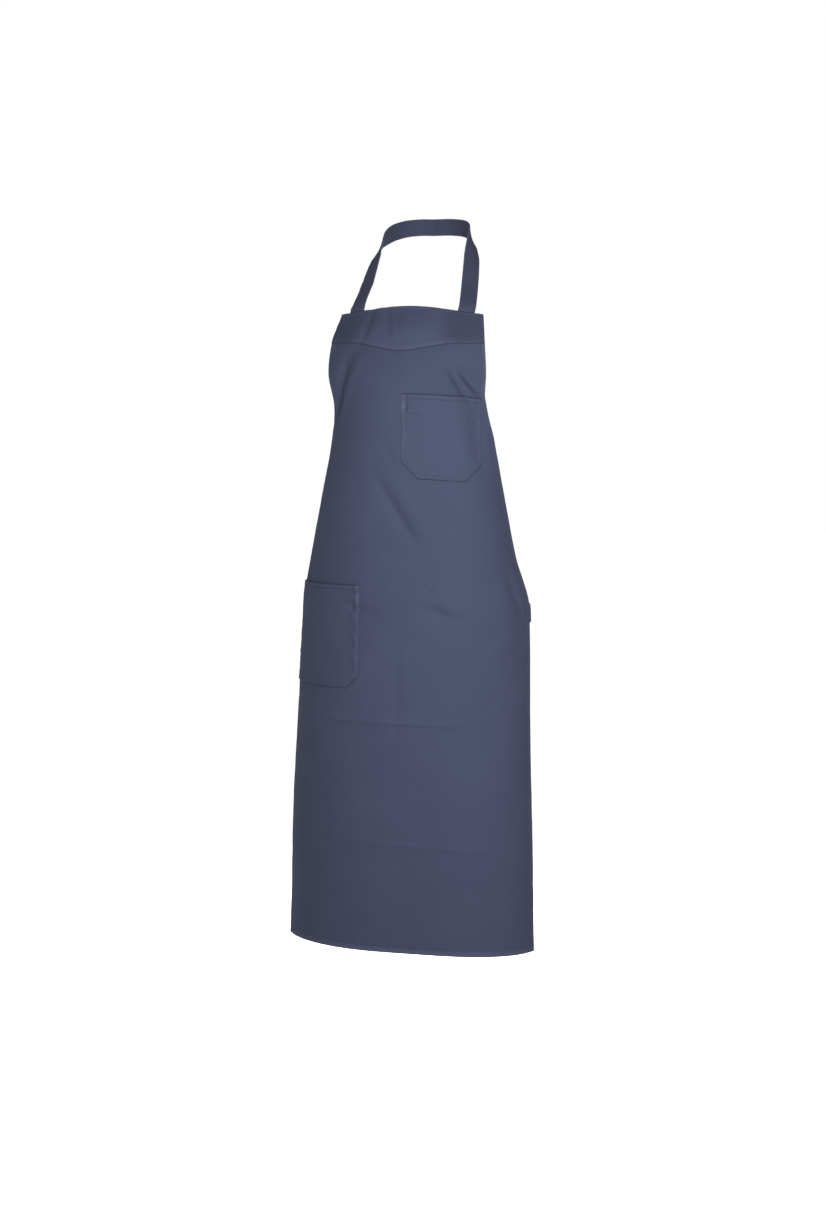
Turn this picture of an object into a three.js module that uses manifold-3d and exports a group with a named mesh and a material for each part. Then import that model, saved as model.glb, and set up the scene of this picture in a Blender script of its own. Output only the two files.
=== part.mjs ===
// A long bib apron of navy cotton twill, in the form that it takes when it is worn.
// Millimetres, +Z up, X to the wearer's left, the front faces -Y. The origin is on the inner
// face of the neck strap, at the back of the neck.
import * as THREE from 'three'
import { mergeVertices } from 'three/addons/utils/BufferGeometryUtils.js'
import Module from 'manifold-3d'

// Cloth, tape and the room left between sewn layers
const clothThickness = 1.2
const tapeThickness = 1.8
const layerGap = 0.7
const tapeGap = 1.1

// Cut of the main cloth
const bibWidth = 240
const waistWidth = 470
const hemWidth = 492
const bibDrop = 460
const skirtDrop = 554
const topRise = 17

// How the cloth hangs from the neck
const bibBelowNeck = 144
const bibBeforeNeck = 176
const sway = 12
const sideDroop = 14

// Facing sewn over the bib's top
const facingDrop = 47
const facingPoint = 17

// Neck strap
const strapWidth = 27
const strapInset = 28
const strapTuck = 34

// Chest pocket
const chestPocketWidth = 128
const chestPocketHeight = 132
const chestPocketClip = 27
const chestPocketDrop = 128
const chestPocketAside = 72

// Side pocket
const sidePocketWidth = 175
const sidePocketHeight = 166
const sidePocketClip = 20
const sidePocketDrop = 430
const sidePocketOverhang = 2

// How far a pocket's cloth stands off the panel in its middle and at its mouth
const pocketEase = 1.2

// Waist ties and the bow at the back
const tieWidth = 27
const tieTuck = 30
const tieDrop = 4
const tieRise = 16
const hipsBehindNeck = 24
const knotWidth = 36
const knotHeight = 32
const knotDepth = 20
const knotGap = 0.4
const bowLoopLength = 96
const bowLoopOpen = 22
const bowTailLength = 205

const clothColour = 0x3b4060
const tapeColour = 0x383c56

// The worn form of the panel, level by level. down: 0 at the bib's top corners, 1 at the waist
// corners, 2 at the hem. cut: how much of the widening from bib to waist is done. lean: degrees
// that the cloth comes forward as it goes down. turnRight and turnLeft: degrees that it has turned
// back at the wearer's right and left edge. squareRight and squareLeft: how late it turns, from 1
// for a round section up. sway and droop: shares of the named sizes.
const sections = [
  { down: 0, cut: 0, lean: 27, turnRight: 25, squareRight: 1.3, turnLeft: 25, squareLeft: 1.3, sway: 1, droop: 0 },
  { down: 0.1, cut: 0.11, lean: 25, turnRight: 35, squareRight: 1.3, turnLeft: 30, squareLeft: 1.3, sway: 0.6, droop: 0 },
  { down: 0.2, cut: 0.19, lean: 17, turnRight: 44, squareRight: 1.3, turnLeft: 46, squareLeft: 1.3, sway: 0.6, droop: 0.4 },
  { down: 0.3, cut: 0.23, lean: 6, turnRight: 58, squareRight: 1.35, turnLeft: 60, squareLeft: 1.35, sway: 0.9, droop: 0.7 },
  { down: 0.42, cut: 0.38, lean: -2, turnRight: 68, squareRight: 1.4, turnLeft: 69, squareLeft: 1.4, sway: 1, droop: 0.85 },
  { down: 0.62, cut: 0.6, lean: -4, turnRight: 73, squareRight: 1.5, turnLeft: 75, squareLeft: 1.5, sway: 0.6, droop: 1 },
  { down: 0.82, cut: 0.8, lean: -2, turnRight: 74, squareRight: 1.5, turnLeft: 79, squareLeft: 1.6, sway: 0.3, droop: 0.5 },
  { down: 1, cut: 1, lean: 0, turnRight: 73, squareRight: 1.5, turnLeft: 80, squareLeft: 1.7, sway: 0.45, droop: 0.2 },
  { down: 1.3, cut: 1, lean: 1, turnRight: 69, squareRight: 1.5, turnLeft: 81, squareLeft: 2, sway: 0.15, droop: 0 },
  { down: 1.65, cut: 1, lean: 1.5, turnRight: 65, squareRight: 1.45, turnLeft: 82, squareLeft: 2.3, sway: 0.15, droop: 0 },
  { down: 2, cut: 1, lean: 2, turnRight: 61, squareRight: 1.4, turnLeft: 82, squareLeft: 2.6, sway: 0.3, droop: 0 },
]

// Soft folds and dents. Each runs straight on the flat cloth from one end to the other: across is a
// share of the half width there, down is a level as above. wide is a share of the bib's width and
// high, outward, a share of the cloth's thickness.
const folds = [
  { fromAcross: -0.585, fromDown: 0.185, toAcross: -0.869, toDown: 0.339, wide: 0.05, high: -5 },
  { fromAcross: 0, fromDown: -0.02, toAcross: 0.05, toDown: 0.1, wide: 0.16, high: 2.8 },
  { fromAcross: 0.6, fromDown: 0.18, toAcross: 0.922, toDown: 0.28, wide: 0.04, high: -3 },
  { fromAcross: -0.177, fromDown: 0.561, toAcross: 0.156, toDown: 0.792, wide: 0.045, high: -2.6 },
  { fromAcross: -0.1, fromDown: 0.54, toAcross: 0.23, toDown: 0.77, wide: 0.05, high: 1.4 },
  { fromAcross: 0.246, fromDown: 1.011, toAcross: 0.4, toDown: 1.024, wide: 0.04, high: -1.8 },
  { fromAcross: 0.55, fromDown: 1.16, toAcross: 0.88, toDown: 1.09, wide: 0.07, high: 1.7 },
  { fromAcross: -0.637, fromDown: 1.334, toAcross: 0.546, toDown: 1.34, wide: 0.04, high: 1.1 },
  { fromAcross: -0.517, fromDown: 1.678, toAcross: 0.797, toDown: 1.701, wide: 0.04, high: 1.1 },
]

// Half of the neck strap, from the bib's top to the back of the neck. out, back and down are
// shares of the place where the strap leaves the bib, and face is the direction that its outer
// face looks, in degrees from straight ahead round to straight behind.
const strapStations = [
  { out: 0.95, back: 0.76, down: 0.68, face: 22 },
  { out: 0.885, back: 0.56, down: 0.36, face: 38 },
  { out: 0.79, back: 0.38, down: 0.13, face: 80 },
  { out: 0.6, back: 0.15, down: 0.03, face: 120 },
  { out: 0.31, back: 0.03, down: 0, face: 154 },
  { out: 0, back: 0, down: 0, face: 180 },
]

const degrees = Math.PI / 180
const lerp = THREE.MathUtils.lerp
const clamp = THREE.MathUtils.clamp

// A column of the section table at any level, by a smooth curve through its rows
function sectionValue(column, level) {
  const last = sections.length - 1
  const at = clamp(level, sections[0].down, sections[last].down)
  let i = 0
  while (i < last - 1 && sections[i + 1].down < at) i += 1
  const rows = [i - 1, i, i + 1, i + 2].map((k) => sections[clamp(k, 0, last)])
  const [before, start, end, after] = rows
  const span = end.down - start.down
  const slopeIn = (end[column] - before[column]) / (end.down - before.down)
  const slopeOut = (after[column] - start[column]) / (after.down - start.down)
  const t = (at - start.down) / span
  const blend = t * t * (3 - 2 * t)
  const bow = t * (1 - t)
  const straight = lerp(start[column], end[column], blend)
  return straight + span * bow * (slopeIn * (1 - t) - slopeOut * t)
}

function levelAt(v) {
  return v < bibDrop ? v / bibDrop : 1 + (v - bibDrop) / skirtDrop
}

function dropAt(level) {
  return level < 1 ? level * bibDrop : bibDrop + (level - 1) * skirtDrop
}

function halfWidthAt(v) {
  const level = levelAt(v)
  if (level > 1) return lerp(waistWidth, hemWidth, level - 1) / 2
  return lerp(bibWidth, waistWidth, sectionValue('cut', level)) / 2
}

// The centre line, added up step by step down the cloth from the bib's top
const centreStep = 5
const centreSpareSteps = 4
const centreStart = -centreSpareSteps * centreStep
const centreLine = []
{
  const levels = Math.ceil((bibDrop + skirtDrop) / centreStep) + 2 * centreSpareSteps
  let forward = 0
  let down = 0
  for (let k = 0; k <= levels; k += 1) {
    centreLine.push({ forward, down })
    const lean = sectionValue('lean', levelAt(centreStart + (k + 0.5) * centreStep)) * degrees
    forward += Math.sin(lean) * centreStep
    down += Math.cos(lean) * centreStep
  }
}

function centreAt(v) {
  const k = (v - centreStart) / centreStep
  const i = clamp(Math.floor(k), 0, centreLine.length - 2)
  const start = centreLine[centreSpareSteps]
  const forward = lerp(centreLine[i].forward, centreLine[i + 1].forward, k - i) - start.forward
  const down = lerp(centreLine[i].down, centreLine[i + 1].down, k - i) - start.down
  return { y: -bibBeforeNeck - forward, z: -bibBelowNeck - down }
}

// The smooth middle surface. u runs across the flat cloth from its centre line and v down it.
const sectionSteps = 24

function sectionPoint(u, v) {
  const level = levelAt(v)
  const half = halfWidthAt(v)
  const side = u < 0 ? 'Right' : 'Left'
  const turn = sectionValue(`turn${side}`, level) * degrees
  const square = sectionValue(`square${side}`, level)
  const length = Math.abs(u)
  let across = 0
  let back = 0
  for (let k = 0; k < sectionSteps; k += 1) {
    const share = (k + 0.5) / sectionSteps
    const angle = turn * ((share * length) / half) ** square
    across += (Math.cos(angle) * length) / sectionSteps
    back += (Math.sin(angle) * length) / sectionSteps
  }
  return { across: Math.sign(u) * across, back }
}

function smoothPoint(u, v) {
  const centre = centreAt(v)
  const { across, back } = sectionPoint(u, v)
  const aside = sway * sectionValue('sway', levelAt(v))
  const lower = sideDroop * sectionValue('droop', levelAt(v)) * (u / halfWidthAt(v)) ** 2
  return new THREE.Vector3(across + aside, centre.y + back, centre.z - lower)
}

function normalOf(pointAt, u, v) {
  const along = pointAt(u + 1, v).sub(pointAt(u - 1, v))
  const down = pointAt(u, v + 1).sub(pointAt(u, v - 1))
  return down.cross(along).normalize()
}

// Height of all folds at a place of the flat cloth. Each fades towards its two ends.
const foldEnd = 0.04
const foldFade = 0.6

function foldHeight(u, v) {
  let height = 0
  for (const fold of folds) {
    const startDrop = dropAt(fold.fromDown)
    const endDrop = dropAt(fold.toDown)
    const start = new THREE.Vector2(fold.fromAcross * halfWidthAt(startDrop), startDrop)
    const end = new THREE.Vector2(fold.toAcross * halfWidthAt(endDrop), endDrop)
    const run = end.clone().sub(start)
    const place = new THREE.Vector2(u, v).sub(start)
    const along = clamp(place.dot(run) / run.lengthSq(), 0, 1)
    const away = place.addScaledVector(run, -along).length()
    const width = fold.wide * bibWidth
    const taper = Math.sin(Math.PI * clamp(along, foldEnd, 1 - foldEnd)) ** foldFade
    height += fold.high * clothThickness * taper * Math.exp(-((away / width) ** 2))
  }
  return height
}

function clothPoint(u, v) {
  const normal = normalOf(smoothPoint, u, v)
  return smoothPoint(u, v).addScaledVector(normal, foldHeight(u, v))
}

// A place at some height off the cloth's middle surface, outward
function offCloth(u, v, height) {
  return clothPoint(u, v).addScaledVector(normalOf(clothPoint, u, v), height)
}

function topEdgeAt(share) {
  return -topRise * (1 - share * share)
}

// A closed sheet over a grid: pointAt gives a corner from its column and row shares and its side
function sheetGeometry(columns, rows, pointAt) {
  const positions = []
  const faces = []
  const index = (i, j, side) => (side * (rows + 1) + j) * (columns + 1) + i
  for (const side of [0, 1]) {
    for (let j = 0; j <= rows; j += 1) {
      for (let i = 0; i <= columns; i += 1) {
        const point = pointAt(i / columns, j / rows, side === 0 ? 1 : -1)
        positions.push(point.x, point.y, point.z)
      }
    }
  }
  const quad = (a, b, c, d) => faces.push(a, b, c, a, c, d)
  for (let j = 0; j < rows; j += 1) {
    for (let i = 0; i < columns; i += 1) {
      quad(index(i, j, 0), index(i, j + 1, 0), index(i + 1, j + 1, 0), index(i + 1, j, 0))
      quad(index(i, j, 1), index(i + 1, j, 1), index(i + 1, j + 1, 1), index(i, j + 1, 1))
    }
    quad(index(0, j, 0), index(0, j, 1), index(0, j + 1, 1), index(0, j + 1, 0))
    quad(index(columns, j, 0), index(columns, j + 1, 0), index(columns, j + 1, 1), index(columns, j, 1))
  }
  for (let i = 0; i < columns; i += 1) {
    quad(index(i, 0, 0), index(i + 1, 0, 0), index(i + 1, 0, 1), index(i, 0, 1))
    quad(index(i, rows, 0), index(i, rows, 1), index(i + 1, rows, 1), index(i + 1, rows, 0))
  }
  return meshGeometry(positions, faces)
}

// A closed flat tape through stations, each with its centre, its width and its thickness direction
function tapeGeometry(stations, width, thickness) {
  const positions = []
  const faces = []
  for (const { centre, wide, thick } of stations) {
    for (const [a, b] of [[-1, -1], [1, -1], [1, 1], [-1, 1]]) {
      const corner = centre.clone()
      corner.addScaledVector(wide, (a * width) / 2)
      corner.addScaledVector(thick, (b * thickness) / 2)
      positions.push(corner.x, corner.y, corner.z)
    }
  }
  const last = (stations.length - 1) * 4
  for (let base = 0; base < last; base += 4) {
    for (let k = 0; k < 4; k += 1) {
      const next = (k + 1) % 4
      faces.push(base + k, base + next, base + 4 + next)
      faces.push(base + k, base + 4 + next, base + 4 + k)
    }
  }
  faces.push(0, 2, 1, 0, 3, 2)
  faces.push(last, last + 1, last + 2, last, last + 2, last + 3)
  return meshGeometry(positions, faces)
}

function meshGeometry(positions, faces) {
  const geometry = new THREE.BufferGeometry()
  geometry.setAttribute('position', new THREE.Float32BufferAttribute(positions, 3))
  geometry.setIndex(faces)
  geometry.computeVertexNormals()
  return geometry
}

// Stations of a tape through a list of centres and outer face directions
function tapeStations(centres, faceDirections) {
  return centres.map((centre, i) => {
    const after = centres[Math.min(i + 1, centres.length - 1)]
    const before = centres[Math.max(i - 1, 0)]
    const tangent = after.clone().sub(before).normalize()
    const wide = new THREE.Vector3().crossVectors(faceDirections[i], tangent).normalize()
    const thick = new THREE.Vector3().crossVectors(tangent, wide).normalize()
    return { centre, wide, thick }
  })
}

// The panel: bib and skirt in one cloth
const panelColumns = 30
const panelRows = 54

function panelPoint(across, down, side) {
  const share = across * 2 - 1
  const top = topEdgeAt(share)
  const v = lerp(top, bibDrop + skirtDrop, down)
  return offCloth(share * halfWidthAt(v), v, (side * clothThickness) / 2)
}

// The facing: a yoke over the bib's top, its lower seam dipping to a blunt point in the middle
const facingColumns = 26
const facingRows = 4
const facingPointReach = 0.55
const facingPointBlunt = 0.1

function facingSeamAt(share) {
  const rise = 1 - Math.hypot(share, facingPointBlunt) / facingPointReach
  return facingDrop + (facingPoint * (rise + Math.hypot(rise, facingPointBlunt))) / 2
}

function facingPointAt(across, down, side) {
  const share = across * 2 - 1
  const v = lerp(topEdgeAt(share), facingSeamAt(share), down)
  const height = clothThickness + layerGap + (side * clothThickness) / 2
  return offCloth(share * halfWidthAt(v), v, height)
}

// Patch pockets: q runs down the pocket, p across it, and the lower corners are clipped
function pocketEaseAt(across, down) {
  return pocketEase * Math.sin(Math.PI * across) * Math.cos((Math.PI / 2) * down ** 2)
}

function pocketPoint(place, across, down, side, pocket) {
  const q = down * pocket.height
  const clipStart = pocket.height - pocket.clip
  const clipped = Math.max(0, q - clipStart)
  const left = -pocket.width / 2 + (pocket.clipLeft ? clipped : 0)
  const right = pocket.width / 2 - (pocket.clipRight ? clipped : 0)
  const p = lerp(left, right, across)
  const height = clothThickness + layerGap + pocketEaseAt(across, down)
  return offCloth(place.u + p, place.v + q, height + (side * clothThickness) / 2)
}

const chestPocket = {
  width: chestPocketWidth,
  height: chestPocketHeight,
  clip: chestPocketClip,
  clipLeft: true,
  clipRight: true,
}
const chestPocketPlace = { u: chestPocketAside, v: chestPocketDrop }

const sidePocket = {
  width: sidePocketWidth,
  height: sidePocketHeight,
  clip: sidePocketClip,
  clipLeft: false,
  clipRight: true,
}
const sidePocketPlace = {
  u: sidePocketWidth / 2 - sidePocketOverhang - halfWidthAt(sidePocketDrop + sidePocketHeight / 2),
  v: sidePocketDrop,
}

const pocketColumns = 13
const pocketRows = 13

function pocketGeometry(place, pocket) {
  return sheetGeometry(pocketColumns, pocketRows, (a, d, side) => pocketPoint(place, a, d, side, pocket))
}

// The neck strap: each half starts inside the bib, rises over the chest and meets at the nape
const tuckOffset = -(clothThickness / 2 + tapeGap + tapeThickness / 2)
const strapTuckSteps = 3
const strapCurveSteps = 26

function strapHalf(side) {
  const aside = halfWidthAt(0) - strapInset
  const leave = topEdgeAt(aside / halfWidthAt(0))
  const centres = []
  const faces = []
  for (let k = 0; k <= strapTuckSteps; k += 1) {
    const v = lerp(leave + strapTuck, leave, k / strapTuckSteps)
    centres.push(offCloth(side * aside, v, tuckOffset))
    faces.push(normalOf(smoothPoint, side * aside, v))
  }
  const exit = centres[strapTuckSteps]
  const exitFace = Math.atan2(side * faces[strapTuckSteps].x, -faces[strapTuckSteps].y)
  const lead = centres[strapTuckSteps].clone().sub(centres[strapTuckSteps - 1])
  const points = [exit, exit.clone().add(lead)]
  const angles = [exitFace, exitFace]
  for (const station of strapStations) {
    const nape = tapeThickness / 2
    const x = exit.x * station.out
    points.push(new THREE.Vector3(x, lerp(nape, exit.y, station.back), exit.z * station.down))
    angles.push(station.face * degrees)
  }
  const curve = new THREE.CatmullRomCurve3(points, false, 'centripetal')
  for (let k = 1; k <= strapCurveSteps; k += 1) {
    const t = k / strapCurveSteps
    const place = t * (points.length - 1)
    const i = Math.min(Math.floor(place), points.length - 2)
    const angle = lerp(angles[i], angles[i + 1], place - i)
    centres.push(curve.getPoint(t))
    faces.push(new THREE.Vector3(side * Math.sin(angle), -Math.cos(angle), 0))
  }
  return { centres, faces }
}

function strapGeometry() {
  const right = strapHalf(-1)
  const left = strapHalf(1)
  const nape = right.centres.length - 1
  const centres = [...right.centres, ...left.centres.slice(0, nape).reverse()]
  const faces = [...right.faces, ...left.faces.slice(0, nape).reverse()]
  return tapeGeometry(tapeStations(centres, faces), strapWidth, tapeThickness)
}

// The ties: sewn behind the waist corners and drawn round the hips to the knot
const tieTuckSteps = 3
const tieCurveSteps = 22
const tieFineSteps = 4
const tieWrapRange = [0.15, 2]
const tieWrapHalvings = 30
const tieLine = bibDrop + tieDrop + tieWidth / 2
const tieMiddle = sway * sectionValue('sway', levelAt(tieLine))

// The course round the hips seen from above: it leaves along the panel, turns until it runs
// straight across, and ends on the middle line. A low wrap makes it turn early.
function tieCourse(side, exit, startAngle, wrap) {
  const steps = tieCurveSteps * tieFineSteps
  const angleAt = (_, k) => lerp(startAngle, Math.PI, ((k + 0.5) / steps) ** wrap)
  const angles = Array.from({ length: steps }, angleAt)
  const across = angles.reduce((sum, angle) => sum - Math.cos(angle), 0)
  const stride = (side * (exit.x - tieMiddle)) / across
  const endBack = angles.reduce((sum, angle) => sum + Math.sin(angle) * stride, exit.y)
  return { angles, stride, endBack }
}

// The wrap that brings the tie to the back of the hips, found by halving
function tieCourseToBack(side, exit, startAngle) {
  let [early, late] = tieWrapRange
  for (let k = 0; k < tieWrapHalvings; k += 1) {
    const wrap = (early + late) / 2
    if (tieCourse(side, exit, startAngle, wrap).endBack < hipsBehindNeck) early = wrap
    else late = wrap
  }
  return tieCourse(side, exit, startAngle, early)
}

// Stations of one whole tie: flat against the panel first, then round the hips
function tieStations(side) {
  const half = halfWidthAt(tieLine)
  const centres = []
  const faces = []
  for (let k = 0; k <= tieTuckSteps; k += 1) {
    const u = side * lerp(half - tieTuck, half, k / tieTuckSteps)
    centres.push(offCloth(u, tieLine, tuckOffset))
    faces.push(normalOf(clothPoint, u, tieLine))
  }
  const exit = centres[tieTuckSteps]
  const before = centres[tieTuckSteps - 1]
  const slope = faces[tieTuckSteps].z
  const startAngle = Math.atan2(exit.y - before.y, side * (exit.x - before.x))
  const { angles, stride } = tieCourseToBack(side, exit, startAngle)
  const point = exit.clone()
  angles.forEach((angle, k) => {
    point.x += side * Math.cos(angle) * stride
    point.y += Math.sin(angle) * stride
    point.z += tieRise / angles.length
    if ((k + 1) % tieFineSteps > 0) return
    const fade = (1 - (k + 1) / angles.length) ** 2
    centres.push(point.clone())
    faces.push(new THREE.Vector3(side * Math.sin(angle), -Math.cos(angle), slope * fade))
  })
  return { centres, faces }
}

// The knot is a box with much rounded corners that holds the ties' ends near its front
const knotRound = 0.6
const knotShift = knotDepth / 2 - tapeThickness

function knotHalfWidthAt(depth) {
  return (knotWidth / 2) * (1 - (depth / (knotDepth / 2)) ** (2 / knotRound)) ** (knotRound / 2)
}

// Each tie stops just short of the knot that its end goes into
function tieGeometry(side) {
  const { centres, faces } = tieStations(side)
  const stop = knotHalfWidthAt(knotShift - tapeThickness / 2) + knotGap
  const reach = (point) => side * (point.x - tieMiddle)
  const count = centres.findIndex((point, i) => i > tieTuckSteps && reach(point) < stop)
  const kept = centres.slice(0, count)
  const share = (reach(kept[count - 1]) - stop) / (reach(kept[count - 1]) - reach(centres[count]))
  kept.push(kept[count - 1].clone().lerp(centres[count], share))
  return tapeGeometry(tapeStations(kept, faces), tieWidth, tapeThickness)
}

// The bow: a knot with two loops and two tails, joined into one solid
const bowLoopDroop = 24
const bowLoopSteps = 18
const bowLoopFullness = 0.8
const bowLoopLean = knotDepth / 4
const bowLoopStart = knotWidth / 4
const bowTailSteps = 8
const bowTailStart = knotWidth / 5
const bowTailSpread = 0.19
const bowTailCurve = 0.05
const bowTailWave = 0.02
const bowTailWaves = 0.8
const bowTailTwist = 0.15
const bowTailRightShare = 0.93
const knotCentre = tieStations(1).centres.at(-1).add(tieStations(-1).centres.at(-1)).multiplyScalar(0.5)
const bowBack = tapeThickness + 2 * tapeGap

// A loop runs out along the back, round its fold and in again over itself
function bowLoop(side) {
  const droop = -bowLoopDroop * degrees
  const out = new THREE.Vector3(side * Math.cos(droop), 0, Math.sin(droop))
  const rise = new THREE.Vector3(-out.z, 0, out.x)
  const centres = []
  for (let k = 0; k <= bowLoopSteps; k += 1) {
    const round = (k / bowLoopSteps) * 2 * Math.PI
    const reach = ((1 - Math.cos(round)) / 2) ** bowLoopFullness
    const swing = (1 - Math.sin(round) * Math.sqrt(Math.sin(round / 2))) / 2
    const centre = knotCentre.clone().addScaledVector(out, bowLoopStart + reach * bowLoopLength)
    centre.y += bowBack + swing * bowLoopOpen + (k / bowLoopSteps - 0.5) * bowLoopLean
    centres.push(centre)
  }
  const faces = centres.map((centre, k) => {
    const after = centres[Math.min(k + 1, bowLoopSteps)]
    const before = centres[Math.max(k - 1, 0)]
    return after.clone().sub(before).cross(rise).normalize()
  })
  return tapeGeometry(tapeStations(centres, faces), tieWidth, tapeThickness)
}

function bowTail(side) {
  const centres = []
  for (let k = 0; k <= bowTailSteps; k += 1) {
    const t = k / bowTailSteps
    const x = side * (bowTailStart + (bowTailSpread * t - bowTailCurve * t * t) * bowTailLength)
    const wave = bowTailWave * bowTailLength * Math.sin(2 * Math.PI * bowTailWaves * t + side)
    const y = bowBack + knotDepth / 4 + wave
    const z = -t * bowTailLength * (side > 0 ? 1 : bowTailRightShare)
    centres.push(knotCentre.clone().add(new THREE.Vector3(x, y, z)))
  }
  const faces = centres.map(() => new THREE.Vector3(-side * bowTailTwist, 1, 0))
  return tapeGeometry(tapeStations(centres, faces), tieWidth, tapeThickness)
}

const knotSides = 16
const knotRings = 12

function knotGeometry() {
  const ball = new THREE.SphereGeometry(1, knotSides, knotRings)
  const place = ball.attributes.position
  const size = [knotWidth / 2, knotDepth / 2, knotHeight / 2]
  for (let i = 0; i < place.count; i += 1) {
    const round = [place.getX(i), place.getY(i), place.getZ(i)]
    const corner = round.map((value, axis) => Math.sign(value) * Math.abs(value) ** knotRound * size[axis])
    place.setXYZ(i, ...corner)
  }
  ball.translate(knotCentre.x, knotCentre.y + knotShift, knotCentre.z)
  return ball
}

const wasm = await Module()
wasm.setup()

function solidOf(geometry) {
  const bare = geometry.clone()
  bare.deleteAttribute('normal')
  bare.deleteAttribute('uv')
  const merged = mergeVertices(bare, 1e-4)
  const vertProperties = new Float32Array(merged.attributes.position.array)
  const triVerts = new Uint32Array(merged.index.array)
  return new wasm.Manifold(new wasm.Mesh({ numProp: 3, vertProperties, triVerts }))
}

function joined(geometries) {
  const solid = geometries.map(solidOf).reduce((whole, piece) => whole.add(piece))
  const mesh = solid.getMesh()
  return meshGeometry(Array.from(mesh.vertProperties), Array.from(mesh.triVerts))
}

const cloth = new THREE.MeshStandardMaterial({ color: clothColour, roughness: 0.85, metalness: 0 })
const tape = new THREE.MeshStandardMaterial({ color: tapeColour, roughness: 0.8, metalness: 0 })

const apron = new THREE.Group()

function addPiece(name, geometry, material) {
  const mesh = new THREE.Mesh(geometry, material)
  mesh.name = name
  apron.add(mesh)
}

addPiece('apron_panel', sheetGeometry(panelColumns, panelRows, panelPoint), cloth)
addPiece('bib_facing', sheetGeometry(facingColumns, facingRows, facingPointAt), cloth)
addPiece('chest_pocket', pocketGeometry(chestPocketPlace, chestPocket), cloth)
addPiece('side_pocket', pocketGeometry(sidePocketPlace, sidePocket), cloth)
addPiece('neck_strap', strapGeometry(), tape)
addPiece('waist_tie_right', tieGeometry(-1), tape)
addPiece('waist_tie_left', tieGeometry(1), tape)
addPiece('tie_bow', joined([knotGeometry(), bowLoop(-1), bowLoop(1), bowTail(-1), bowTail(1)]), tape)

export default apron
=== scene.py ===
import math
import bpy
import numpy as np
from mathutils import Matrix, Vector


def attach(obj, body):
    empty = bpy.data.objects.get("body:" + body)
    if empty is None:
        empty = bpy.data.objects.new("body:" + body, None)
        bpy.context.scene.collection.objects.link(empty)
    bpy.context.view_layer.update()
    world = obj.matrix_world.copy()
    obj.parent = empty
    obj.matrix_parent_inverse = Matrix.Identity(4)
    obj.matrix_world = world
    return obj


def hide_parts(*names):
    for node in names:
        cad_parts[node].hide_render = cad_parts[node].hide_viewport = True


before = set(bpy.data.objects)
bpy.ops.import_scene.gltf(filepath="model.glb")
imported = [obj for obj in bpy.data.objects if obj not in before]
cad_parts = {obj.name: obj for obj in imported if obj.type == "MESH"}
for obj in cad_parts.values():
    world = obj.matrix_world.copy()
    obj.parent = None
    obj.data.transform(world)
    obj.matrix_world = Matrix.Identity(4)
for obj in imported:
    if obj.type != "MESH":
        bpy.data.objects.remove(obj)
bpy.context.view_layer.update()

# Camera
# It stands 4.5 m off, a little to the apron's left and about level with the bib's top, and looks
# slightly down. The apron's middle axis falls at the photograph's column 434.
photo_width, photo_height = 826, 1224
axis_column = 434
horizon_row = 330
millimetres_per_pixel = 1.636
camera_azimuth = math.radians(18)
camera_distance = 4.5
camera_height = -0.165
sensor_long_side = 36

focal_pixels = camera_distance * 1000 / millimetres_per_pixel
camera_pitch = math.atan((photo_height / 2 - horizon_row) / focal_pixels)
aside = (axis_column - photo_width / 2) * millimetres_per_pixel / 1000
camera_ahead = Vector((-math.sin(camera_azimuth), math.cos(camera_azimuth), 0))
camera_right = Vector((math.cos(camera_azimuth), math.sin(camera_azimuth), 0))
camera_place = -camera_ahead * camera_distance - camera_right * aside
camera_place.z = camera_height


def add_object(name, data):
    made = bpy.data.objects.new(name, data)
    bpy.context.scene.collection.objects.link(made)
    return made


camera_data = bpy.data.cameras.new("photo_camera")
camera_data.sensor_width = sensor_long_side
camera_data.lens = focal_pixels / photo_height * sensor_long_side
camera = add_object("photo_camera", camera_data)
camera_aim = camera_ahead * math.cos(camera_pitch) - Vector((0, 0, math.sin(camera_pitch)))
camera.location = camera_place
camera.rotation_mode = "QUATERNION"
camera.rotation_quaternion = camera_aim.to_track_quat("-Z", "Y")
bpy.context.scene.camera = camera

# Apron panel
# Bib and skirt are one cloth, cut from navy cotton twill. Its sides and its lower edge are turned
# in twice and stitched down, and it hangs from the neck strap in the form that wearing gave it.
bib_width, waist_width, hem_width = 240, 470, 492
bib_drop, skirt_drop, top_rise = 460, 554, 17
whole_drop = bib_drop + skirt_drop
bib_below_neck, bib_before_neck = 144, 176
sway, side_droop = 12, 14
cloth_ply, edge_round = 0.9, 0.9
hem_turn, hem_stitch, hem_ply = 10, 8.2, 0.8
corner_rise, corner_start = 3.2, 0.78
groove_depth, groove_width, thread_shadow, seam_swell = 0.3, 0.9, 0.7, 0.25
worn_edge = 1.6

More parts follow.
